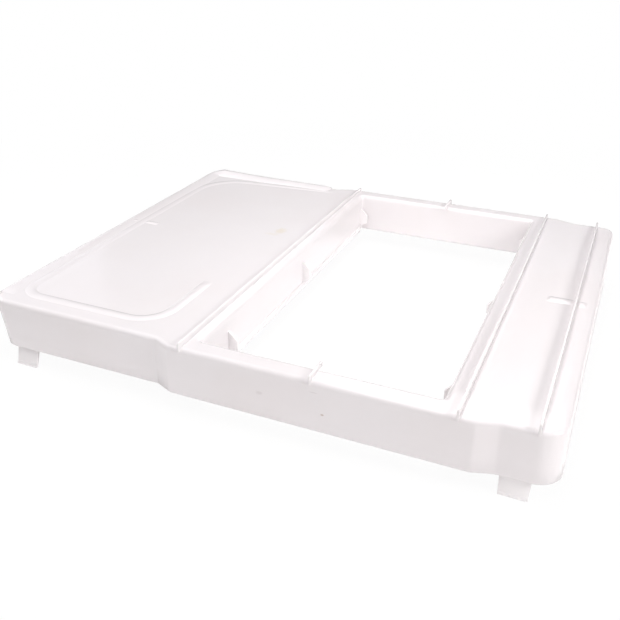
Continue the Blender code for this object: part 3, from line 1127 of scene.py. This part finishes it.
@dataclass
class Webs:
    """The thin upright webs: long ribs, rail fins and liner stops."""

    plan: Plan
    web: WebTree
    rounding: float = 0.005
    draft: float = 0.001
    sunk: float = 0.0004
    edge: float = 0.0005
    wrap: float = radians(72)
    back_drop: float = 0.003
    drop_reach: float = 0.060
    corner: float = 0.0022
    wrap_steps: int = 8
    corner_steps: int = 4
    stop_root: float = 0.0008
    stop_edge: float = 0.0012
    stop_heel: float = 0.005
    stop_shoulder: float = 0.009

    def _round_edge(self, foot_y: float, inward: int) -> list[Vector]:
        """Follow the inside of the skirt's rounded edge, from its side up to the deck.

        Args:
            foot_y: Where the skirt's foot is.
            inward: 1 where inwards is +Y and -1 where it is -Y.

        Returns:
            The points as (y, z).
        """
        centre = Vector((self.draft + self.rounding, self.plan.deck - self.rounding))
        radius = self.rounding - self.sunk
        bend = arc_points(centre, radius, pi / 2 + self.wrap, -self.wrap, self.wrap_steps)
        return [Vector((foot_y + inward * n, z)) for n, z in bend]

    def _rib(self, node: str, front: float, back: float) -> list[Vector]:
        """Draw the side view of a long rib, low at its back end.

        Args:
            node: The CAD node that it stands for.
            front: Where the skirt's foot is at its front end.
            back: Where the skirt's foot is at its back end.

        Returns:
            The outline as (y, z).
        """
        low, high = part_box(node)
        bottom = self._round_edge(front, 1) + list(reversed(self._round_edge(back, -1)))
        start, end, top = low.y, high.y, high.z
        back_top = top - self.back_drop
        bottom[0] = Vector((start, bottom[0].y))
        bottom[-1] = Vector((end, bottom[-1].y))
        crest = [
            Vector((end, back_top - self.corner)),
            *self._bend(Vector((end, back_top)), -1),
            Vector((end - self.drop_reach, top)),
            *reversed(self._bend(Vector((start, top)), 1)),
            Vector((start, top - self.corner)),
        ]
        return bottom + crest

    def _bend(self, corner: Vector, inward: int) -> list[Vector]:
        """Round an upper corner, from its upright side to its top, without the first point.

        Args:
            corner: The sharp corner.
            inward: 1 where the web lies towards +Y and -1 where it lies towards -Y.

        Returns:
            The points as (y, z).
        """
        centre = corner + Vector((inward * self.corner, -self.corner))
        first = pi if inward > 0 else 0.0
        return arc_points(centre, self.corner, first, -inward * pi / 2, self.corner_steps)[1:]

    def _fin(self, node: str, foot_y: float, inward: int) -> list[Vector]:
        """Draw the side view of a fin across one rail.

        Args:
            node: The CAD node that it stands for.
            foot_y: Where the skirt's foot is.
            inward: 1 where inwards is +Y and -1 where it is -Y.

        Returns:
            The outline as (y, z).
        """
        low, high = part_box(node)
        start, tip = (low.y, high.y) if inward > 0 else (high.y, low.y)
        bottom = self._round_edge(foot_y, inward)
        bottom[0] = Vector((start, bottom[0].y))
        top = high.z
        crest = [
            Vector((tip, self.plan.deck - self.sunk)),
            Vector((tip, top - self.corner)),
            *self._bend(Vector((tip, top)), -inward),
            *reversed(self._bend(Vector((start, top)), inward)),
            Vector((start, top - self.corner)),
        ]
        return bottom + crest

    def _grow(self, name: str, node: str, view: list[Vector], material: bpy.types.Material) -> None:
        """Thicken a side view into the node's own width and add it as a piece.

        Args:
            name: The piece's name.
            node: The CAD node that it stands for.
            view: The outline as (y, z).
            material: Its material.
        """
        low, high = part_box(node)
        points = [Vector((low.x, y, z)) for y, z in view]
        mesh = self.web.thicken(name, points, high.x - low.x, material, self.edge)
        add_piece(name, mesh, material, Body.FRAME, [node])

    def _stop(self, node: str, inward: int, material: bpy.types.Material) -> None:
        """Add one stop: a small web on a side liner, widest just above the lip.

        Args:
            node: The CAD node that it stands for.
            inward: 1 where it points towards +X and -1 where it points towards -X.
            material: Its material.
        """
        low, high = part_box(node)
        wall, reach = (low.x, high.x) if inward > 0 else (high.x, low.x)
        root, edge = wall - inward * self.stop_root, wall + inward * self.stop_edge
        shoulder, heel = high.z - self.stop_shoulder, low.z + self.stop_heel
        view = [(root, low.z), (edge, low.z), (reach, heel)]
        view += [(reach, shoulder), (edge, high.z), (root, high.z)]
        points = [Vector((x, low.y, z)) for x, z in view]
        name = "liner_" + node
        mesh = self.web.thicken(name, points, high.y - low.y, material, self.edge, turned=True)
        add_piece(name, mesh, material, Body.FRAME, [node])

    def dress(self, material: bpy.types.Material) -> None:
        """Add every web to the scene.

        Args:
            material: Their material.
        """
        p = self.plan
        self._grow("long_rib_left", "rib_left", self._rib("rib_left", p.front, p.back), material)
        self._grow("long_rib_right", "rib_right", self._rib("rib_right", p.front, p.back), material)
        front, back = p.front + p.right_setback_front, p.back - p.right_setback_back
        self._grow("long_rib_outer", "rib_outer", self._rib("rib_outer", front, back), material)
        self._grow("rail_fin_front", "fin_front", self._fin("fin_front", p.front, 1), material)
        self._grow("rail_fin_back", "fin_back", self._fin("fin_back", p.back, -1), material)
        for side, inward in (("left", 1), ("right", -1)):
            for place in ("front", "mid", "back"):
                self._stop(f"stop_{side}_{place}", inward, material)


@dataclass
class Beads:
    """The soft raised lines on the deck and the rim along the left and back edges."""

    plan: Plan
    bead: BeadTree
    height: float = 0.0010
    panel_width: float = 0.0120
    panel_left: float = 0.0215
    panel_near: float = 0.033
    panel_far: float = 0.428
    panel_end: Band = (0.196, 0.446)
    panel_taper: float = 0.012
    hook_at: float = 0.183
    hook_end: float = 0.131
    far_radius: float = 0.055
    near_radius: float = 0.024
    hook_radius: float = 0.032
    far_rise: float = 0.5
    left_rise: float = 0.75
    near_rise: float = 1.15
    fullness: float = 2.0
    step: float = 0.004
    sunk: float = 0.00015
    keep: float = radians(60)
    cross_width: float = 1.2
    cross_height: float = 0.6
    cross_taper: float = 0.003
    cross_step: float = 0.001
    lip_width: float = 0.0056
    lip_inset: float = 0.0040
    lip_corner: float = 0.020
    lip_end: float = 0.188
    lip_spacing: float = 0.012
    lip_corner_steps: int = 10
    lip_left_steps: int = 30
    lip_slope: float = 0.0160
    lip_sunk: float = 0.0011
    lip_fullness: float = 1.6
    lip_taper: float = 0.006
    lip_back_height: float = 0.0023
    lip_left_height: float = 0.0009
    lip_corner_rise: float = 0.0031
    lip_corner_left: float = 0.4
    lip_rise_reach: float = 0.055

    def _values(self, width: float, height: float, taper: float, material: bpy.types.Material) -> dict:
        """Fill in the tree's inputs for one bead.

        Args:
            width: The bead's width.
            height: The bead's height where its path's rise is 1.
            taper: How far it takes to rise from each end.
            material: Its material.

        Returns:
            The inputs by name.
        """
        return {
            "Width": width,
            "Inner Slope": 0.0,
            "Height": height,
            "Base": self.plan.deck,
            "Sunk": self.sunk,
            "Fullness": self.fullness,
            "End Taper": taper,
            "Step": self.step,
            "Material": material,
        }

    def _add(self, name: str, node: str, path: Sequence[Stop], values: dict) -> None:
        """Sweep a bead along its path and add it as a piece.

        Args:
            name: The piece's name.
            node: The CAD node that it stands for.
            path: The place, corner radius and rise of each point.
            values: The tree's inputs.
        """
        mesh = self.bead.grow(name, path_mesh(name, path), values, keep=self.keep)
        add_piece(name, mesh, values["Material"], Body.FRAME, [node])

    def _panel(self, material: bpy.types.Material) -> None:
        """Add the long bead round the closed panel, which fades towards the back.

        Args:
            material: Its material.
        """
        stops = [
            (self.panel_end, 0.0, self.far_rise),
            ((self.panel_left, self.panel_far), self.far_radius, self.far_rise),
            ((self.panel_left, self.panel_near), self.near_radius, self.left_rise),
            ((self.hook_at, self.panel_near), self.hook_radius, self.near_rise),
            ((self.hook_at, self.hook_end), 0.0, self.near_rise),
        ]
        path = [(Vector(self.plan.at(*place)), radius, rise) for place, radius, rise in stops]
        values = self._values(self.panel_width, self.height, self.panel_taper, material)
        self._add("panel_bead_line", "panel_bead", path, values)

    def _cross(self, node: str, material: bpy.types.Material) -> None:
        """Add one short bead across an edge strip.

        Args:
            node: The CAD node that it stands for.
            material: Its material.
        """
        low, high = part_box(node)
        y = (low.y + high.y) / 2
        path = [(Vector((x, y, self.plan.deck)), 0.0, 1.0) for x in (low.x, high.x)]
        width, height = self.cross_width * (high.y - low.y), self.cross_height * (high.z - self.plan.deck)
        values = self._values(width, height, self.cross_taper, material)
        values["Step"] = self.cross_step
        self._add("short_" + node, node, path, values)

    def _lip_run(self) -> list[Vector]:
        """Follow the rim from its right end, round the back left corner, to its front end.

        Returns:
            The points, seen from above.
        """
        p, inset = self.plan, self.lip_inset
        back = p.back - p.left_setback - inset
        radius = self.lip_corner - inset
        corner = Vector((p.left + inset + radius, back - radius))
        low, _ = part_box("edge_lip_left")
        end, length = p.left + self.lip_end, corner.y - low.y
        back_steps = round((self.lip_end - self.lip_corner) / self.lip_spacing)
        run = [Vector((end - self.lip_spacing * i, back)) for i in range(back_steps)]
        run += arc_points(corner, radius, pi / 2, pi / 2, self.lip_corner_steps)
        steps = self.lip_left_steps
        return run + [Vector((p.left + inset, corner.y - length * (i + 1) / steps)) for i in range(steps)]

    def _edge_lip(self, material: bpy.types.Material) -> None:
        """Add the rim along the left edge and the left part of the back edge, highest at the corner.

        Args:
            material: Its material.
        """
        p = self.plan
        peak = Vector((p.left, p.back - p.left_setback))
        start, radius = p.left + self.lip_inset, self.lip_corner - self.lip_inset
        path = []
        for at in self._lip_run():
            along_back = min(1.0, max(0.0, (at.x - start) / radius))
            away = (at - peak).length / self.lip_rise_reach
            share = self.lip_corner_left + (1 - self.lip_corner_left) * along_back
            tall = self.lip_left_height + (self.lip_back_height - self.lip_left_height) * along_back
            tall += self.lip_corner_rise * share / (1 + away * away)
            path.append((Vector((at.x, at.y, p.deck)), 0.0, tall / self.lip_back_height))
        values = self._values(self.lip_width, self.lip_back_height, self.lip_taper, material)
        values.update({"Sunk": self.lip_sunk, "Fullness": self.lip_fullness, "Inner Slope": self.lip_slope})
        self._add("raised_edge_lip", "edge_lip_left", path, values)

    def dress(self, material: bpy.types.Material) -> None:
        """Add every bead to the scene.

        Args:
            material: Their material.
        """
        self._panel(material)
        for side in ("left", "right"):
            for end in ("outer", "inner"):
                self._cross(f"cross_bead_{side}_{end}", material)
        self._edge_lip(material)


@dataclass
class Tabs:
    """The four sprung tabs and the roots behind the skirt that carry them."""

    plan: Plan
    web: WebTree
    thick: float = 0.0025
    foot_share: float = 0.933
    catch: float = 0.0008
    catch_height: float = 0.0025
    splay: float = radians(8)
    bent_splay: float = radians(18)
    edge: float = 0.00035
    upper_steps: int = 10
    root_top: float = 0.45
    root_back: float = 0.08

    def _side_view(self, pivot: Vector, splay: float, outward: int) -> list[Vector]:
        """Draw a tab's section as (y, z): a round upper edge, a flat blade and a ridge at its end.

        Args:
            pivot: (y, z) of the upper edge's axis.
            splay: How far the tab tilts outwards.
            outward: 1 where outwards is +Y and -1 where it is -Y.

        Returns:
            The section's points.
        """
        half = self.thick / 2
        down = Vector((outward * sin(splay), -cos(splay)))
        out = Vector((outward * cos(splay), sin(splay)))
        floor = CAD_BOX[0].z
        outer_length = (pivot.y - floor + half * sin(splay)) / cos(splay)
        inner_length = (pivot.y - floor - half * sin(splay)) / cos(splay)
        start = atan2(out.y, out.x)
        view = arc_points(pivot, half, start, outward * pi, self.upper_steps)
        outer = pivot + out * half
        view += [
            pivot - out * half + down * inner_length,
            outer + down * outer_length,
            outer + down * (outer_length - self.catch) + out * self.catch,
            outer + down * (outer_length - self.catch_height) + out * self.catch,
            outer + down * (outer_length - self.catch_height - self.catch),
        ]
        return view

    def _tab(self, joint: dict, material: bpy.types.Material) -> None:
        """Add one tab, hung from its joint.

        Args:
            joint: The joint's row in the frame.
            material: Its material.
        """
        body = Body(joint["child"])
        node = joint["child"].removesuffix("_body")
        low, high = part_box(node)
        place = Vector(joint["pos_m"])
        outward = -1 if place.y < 0 else 1
        splay = self.bent_splay if body is Body.FRONT_LEFT else self.splay
        view = self._side_view(Vector((place.y, place.z)), splay, outward)
        points = [Vector((low.x, y, z)) for y, z in view]
        taper = (1 - self.foot_share) / (high.z - low.z)
        name = "snap_" + node
        mesh = self.web.thicken(
            name, points, high.x - low.x, material, self.edge, middle=place.x, top=high.z, taper=taper
        )
        add_piece(name, mesh, material, body, [node])

    def _root(self, node: str, inward: int, material: bpy.types.Material) -> None:
        """Add the block behind the skirt that one tab hangs from.

        Args:
            node: The CAD node that it stands for.
            inward: 1 where inwards is +Y and -1 where it is -Y.
            material: Its material.
        """
        low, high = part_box(node)
        wall, inner = (low.y, high.y) if inward > 0 else (high.y, low.y)
        thick = inner - wall
        view = [(wall, low.z), (inner, low.z), (inner, high.z - abs(thick))]
        view += [(wall + thick * share, high.z) for share in (self.root_top, self.root_back)]
        points = [Vector((low.x, y, z)) for y, z in view]
        name = node + "_block"
        mesh = self.web.thicken(name, points, high.x - low.x, material, self.edge)
        add_piece(name, mesh, material, Body.FRAME, [node])

    def dress(self, material: bpy.types.Material) -> None:
        """Add every tab and root to the scene.

        Args:
            material: Their material.
        """
        for joint in frame["joints"]:
            self._tab(joint, material)
        for end, inward in (("front", 1), ("back", -1)):
            for side in ("left", "right"):
                self._root(f"tab_root_{end}_{side}", inward, material)


# ---------------------------------------------------------------- studio


@dataclass(frozen=True)
class Lamp:
    """A square soft lamp that faces the object."""

    name: str
    at: Triple
    side: float
    power: float
    colour: Colour = (1.0, 0.985, 0.985)


@dataclass(frozen=True)
class Glow:
    """Soft light from the surroundings that brightens towards one direction."""

    toward: Triple
    start: float
    full: float
    strength: float


@dataclass
class Studio:
    """Pale floor, soft lamps, soft surroundings and the camera."""

    lamps: tuple[Lamp, ...] = (
        Lamp("key_from_right", (1.45, -0.30, 0.95), 0.6, 14.7),
        Lamp("fill_from_left", (-1.30, 0.00, 0.50), 0.6, 3.0),
        Lamp("high_fill_from_left", (-0.95, 0.00, 0.95), 1.2, 3.45),
        Lamp("overhead_near", (0.15, -0.45, 1.30), 0.9, 5.4),
        Lamp("overhead_far", (0.00, 0.55, 0.90), 0.6, 3.3),
        Lamp("over_opening", (0.05, -0.10, 0.60), 0.25, 0.86),
    )
    glow: Glow = Glow((0.0, -1.0, 0.0), 0.0, 0.8, 0.56)
    glow_colour: Colour = (1.0, 0.985, 0.99)
    mirrored_colour: Colour = (0.93, 0.92, 1.0)
    mirrored_low: float = 0.28
    mirrored_high: float = 1.0
    mirrored_rise: Band = (0.36, 0.72)
    card_level: float = 0.72
    card_from: float = radians(40.1)
    card_to: float = radians(62)
    card_near_edge: float = 0.006
    card_far_edge: float = 0.036
    camera_at: Vector = Vector((0.28269, -0.71593, 0.41218))
    yaw: float = -0.4084
    pitch: float = 0.4878
    roll: float = 0.0052
    lens: float = 44.157
    sensor: float = 36.0
    nearest: float = 0.01
    farthest: float = 60.0
    white: Colour = (1.0, 1.0, 1.0)
    floor_side: float = 14.0
    floor_gap: float = 0.0003
    floor_colour: Colour = (0.85, 0.8415, 0.8415)
    floor_lit_colour: Colour = (1.0, 0.99, 0.99)
    floor_lit: float = 0.24
    floor_shown: float = 0.93
    floor_near: float = 0.45
    floor_far: float = 0.95

    def _camera(self) -> None:
        """Add the camera."""
        ahead = Vector((sin(self.yaw) * cos(self.pitch), cos(self.yaw) * cos(self.pitch), -sin(self.pitch)))
        right = Vector((cos(self.yaw), -sin(self.yaw), 0.0))
        up = right.cross(ahead)
        level = Matrix((right, up, -ahead)).transposed().to_4x4()
        data = bpy.data.cameras.new("studio_camera")
        data.sensor_width = self.sensor
        data.lens = self.lens
        data.clip_start = self.nearest
        data.clip_end = self.farthest
        camera = bpy.data.objects.new("studio_camera", data)
        bpy.context.scene.collection.objects.link(camera)
        camera.matrix_world = Matrix.Translation(self.camera_at) @ level @ Matrix.Rotation(self.roll, 4, "Z")
        bpy.context.scene.camera = camera

    def _lamps(self) -> None:
        """Add the lamps."""
        for lamp in self.lamps:
            data = bpy.data.lights.new(lamp.name, "AREA")
            data.shape = "SQUARE"
            data.size = lamp.side
            data.energy = lamp.power
            data.color = lamp.colour
            holder = bpy.data.objects.new(lamp.name, data)
            holder.location = lamp.at
            holder.rotation_mode = "QUATERNION"
            holder.rotation_quaternion = (-Vector(lamp.at)).to_track_quat("-Z", "Y")
            bpy.context.scene.collection.objects.link(holder)

    def _backdrop(
        self, recipe: Recipe, colour: Colour, strength: Union[Wire, float]
    ) -> bpy.types.NodeSocket:
        """Return the socket of a plain background of one colour."""
        values = {"Color": (*colour, 1.0), "Strength": strength}
        return recipe.node("ShaderNodeBackground", values=values).outputs[0]

    def _ray(self, recipe: Recipe, kind: str) -> bpy.types.NodeSocket:
        """Return a socket that is 1 for one kind of ray, such as Camera, and 0 for the rest."""
        return recipe.node("ShaderNodeLightPath").outputs[f"Is {kind} Ray"]

    def _past(self, recipe: Recipe, toward: bpy.types.NodeSocket, angle: float, edge: float) -> Wire:
        """Ease from 0 to 1 where a direction passes a bearing.

        Args:
            recipe: Where nodes are added.
            toward: The direction.
            angle: The bearing, as an angle from straight back towards the left.
            edge: Half the width of the eased edge, as a share of the direction's length.

        Returns:
            0 before the bearing and 1 past it.
        """
        side = (-cos(angle), -sin(angle), 0.0)
        return recipe.wire(recipe.vector_maths("DOT_PRODUCT", toward, side)["Value"]).smooth(-edge, edge)

    def _sky(self) -> None:
        """Make a white backdrop to see, a soft glow for the light, and a card and a bright top to mirror."""
        world = bpy.data.worlds.new("studio_surroundings")
        bpy.context.scene.world = world
        world.use_nodes = True
        recipe = Recipe(world.node_tree)
        toward = recipe.node("ShaderNodeTexCoord").outputs["Generated"]
        facing = recipe.wire(recipe.vector_maths("DOT_PRODUCT", toward, self.glow.toward)["Value"])
        glowing = facing.smooth(self.glow.start, self.glow.full) * self.glow.strength
        card = self._past(recipe, toward, self.card_from, self.card_near_edge)
        card = card * (1.0 - self._past(recipe, toward, self.card_to, self.card_far_edge))
        low = self.mirrored_low + self.card_level * card
        level = low + (self.mirrored_high - low) * recipe.part(toward, "Z").smooth(*self.mirrored_rise)
        lighting = self._backdrop(recipe, self.glow_colour, glowing)
        mirrored = self._backdrop(recipe, self.mirrored_colour, level)
        unseen = recipe.mix_shaders(self._ray(recipe, "Glossy"), lighting, mirrored)
        seen = self._backdrop(recipe, self.white, 1.0)
        surface = recipe.mix_shaders(self._ray(recipe, "Camera"), unseen, seen)
        recipe.node("ShaderNodeOutputWorld", values={"Surface": surface})

    def _paper(self) -> bpy.types.Material:
        """Make the floor's paper, which shows a faint shadow near the object and plain white beyond it.

        Returns:
            The material.
        """
        material = bpy.data.materials.new("floor_paper")
        material.use_nodes = True
        recipe = Recipe(material.node_tree)
        paper = recipe.node("ShaderNodeBsdfDiffuse", values={"Color": (*self.floor_colour, 1.0)})
        values = {"Color": (*self.floor_lit_colour, 1.0), "Strength": self.floor_lit}
        under = recipe.node("ShaderNodeEmission", values=values)
        table = recipe.node("ShaderNodeAddShader", values={0: paper.outputs[0], 1: under.outputs[0]})
        shown = recipe.node("ShaderNodeEmission", values={"Color": (*self.white, 1.0), "Strength": 1.0})
        place = recipe.node("ShaderNodeTexCoord").outputs["Object"]
        length = recipe.wire(recipe.vector_maths("LENGTH", place)["Value"])
        away = length.smooth(self.floor_near, self.floor_far)
        plain = self.floor_shown + (1.0 - self.floor_shown) * away
        share = recipe.wire(self._ray(recipe, "Camera")) * plain
        surface = recipe.mix_shaders(share, table.outputs[0], shown.outputs[0])
        recipe.node("ShaderNodeOutputMaterial", values={"Surface": surface})
        return material

    def _floor(self) -> None:
        """Add a wide table just under the object."""
        half = self.floor_side / 2
        z = CAD_BOX[0].z - self.floor_gap
        points = [Vector((x, y, z)) for x, y in ((-half, -half), (half, -half), (half, half), (-half, half))]
        mesh = flat_face("studio_floor", points)
        material = self._paper()
        mesh.materials.append(material)
        floor = bpy.data.objects.new("studio_floor", mesh)
        bpy.context.scene.collection.objects.link(floor)

    def build(self) -> None:
        """Add the camera, the lamps, the surroundings and the floor."""
        self._camera()
        self._lamps()
        self._sky()
        self._floor()
        bpy.context.scene.view_settings.view_transform = "Standard"


def wear_marks(plan: Plan) -> tuple[Mark, ...]:
    """List the few marks that this well-kept frame has picked up.

    Args:
        plan: Where the moulding is.

    Returns:
        Two stains beside the left rib, two nicks and two smudges on the front wall.
    """
    tan_stain: Colour = (0.81, 0.745, 0.65)
    grey: Colour = (0.55, 0.50, 0.50)
    brown: Colour = (0.38, 0.24, 0.16)
    face = 0.0004
    return (
        Mark(plan.at(0.191, 0.288), (0.009, 0.012, 0.004), tan_stain, 0.75, 1.3),
        Mark(plan.at(0.186, 0.275), (0.012, 0.005, 0.004), tan_stain, 0.35, 1.2),
        Mark(plan.at(0.3524, face, -0.001), (0.0014, 0.003, 0.0018), brown, 0.75, 0.3),
        Mark(plan.at(0.3658, face, -0.030), (0.0022, 0.003, 0.0012), brown, 0.60, 0.3),
        Mark(plan.at(0.307, face, -0.024), (0.0045, 0.003, 0.0028), grey, 0.30, 0.9),
        Mark(plan.at(0.3574, face, -0.0101), (0.0060, 0.003, 0.0008), grey, 0.30, 0.3),
    )


def main() -> None:
    """Build every piece of the frame, then the studio."""
    logging.basicConfig(level=logging.INFO, format="%(name)s: %(message)s")
    plan = Plan.from_nodes()
    finishes = {
        Slot.SHELL: MouldedPlastic("glossy_white_shell", marks=wear_marks(plan)),
        # The ribs' white is paler than the shell's though they are the same plastic: painted light that
        # brightens the ribs' sides.
        Slot.RIB: MouldedPlastic("glossy_white_ribs_painted_light", white=(0.91, 0.885, 0.89)),
        Slot.TRIM: MouldedPlastic("glossy_white_beads", roughness=0.18),
        # The tabs' white and warm are paler than the shell's though they are the same moulding: painted light
        # for the light that the splayed tabs catch under the skirt.
        Slot.TAB: MouldedPlastic(
            "glossy_white_tabs_painted_light", white=(0.97, 0.945, 0.95), warm=(0.95, 0.92, 0.92), roughness=0.22
        ),
    }
    made = {slot: finish.material(plan.foot, plan.deck) for slot, finish in finishes.items()}
    web, bead = WebTree(), BeadTree()
    Shell(plan).dress(made[Slot.SHELL])
    Webs(plan, web).dress(made[Slot.RIB])
    Beads(plan, bead).dress(made[Slot.TRIM])
    Tabs(plan, web).dress(made[Slot.TAB])
    Studio().build()


if __name__ == "__main__":
    main()
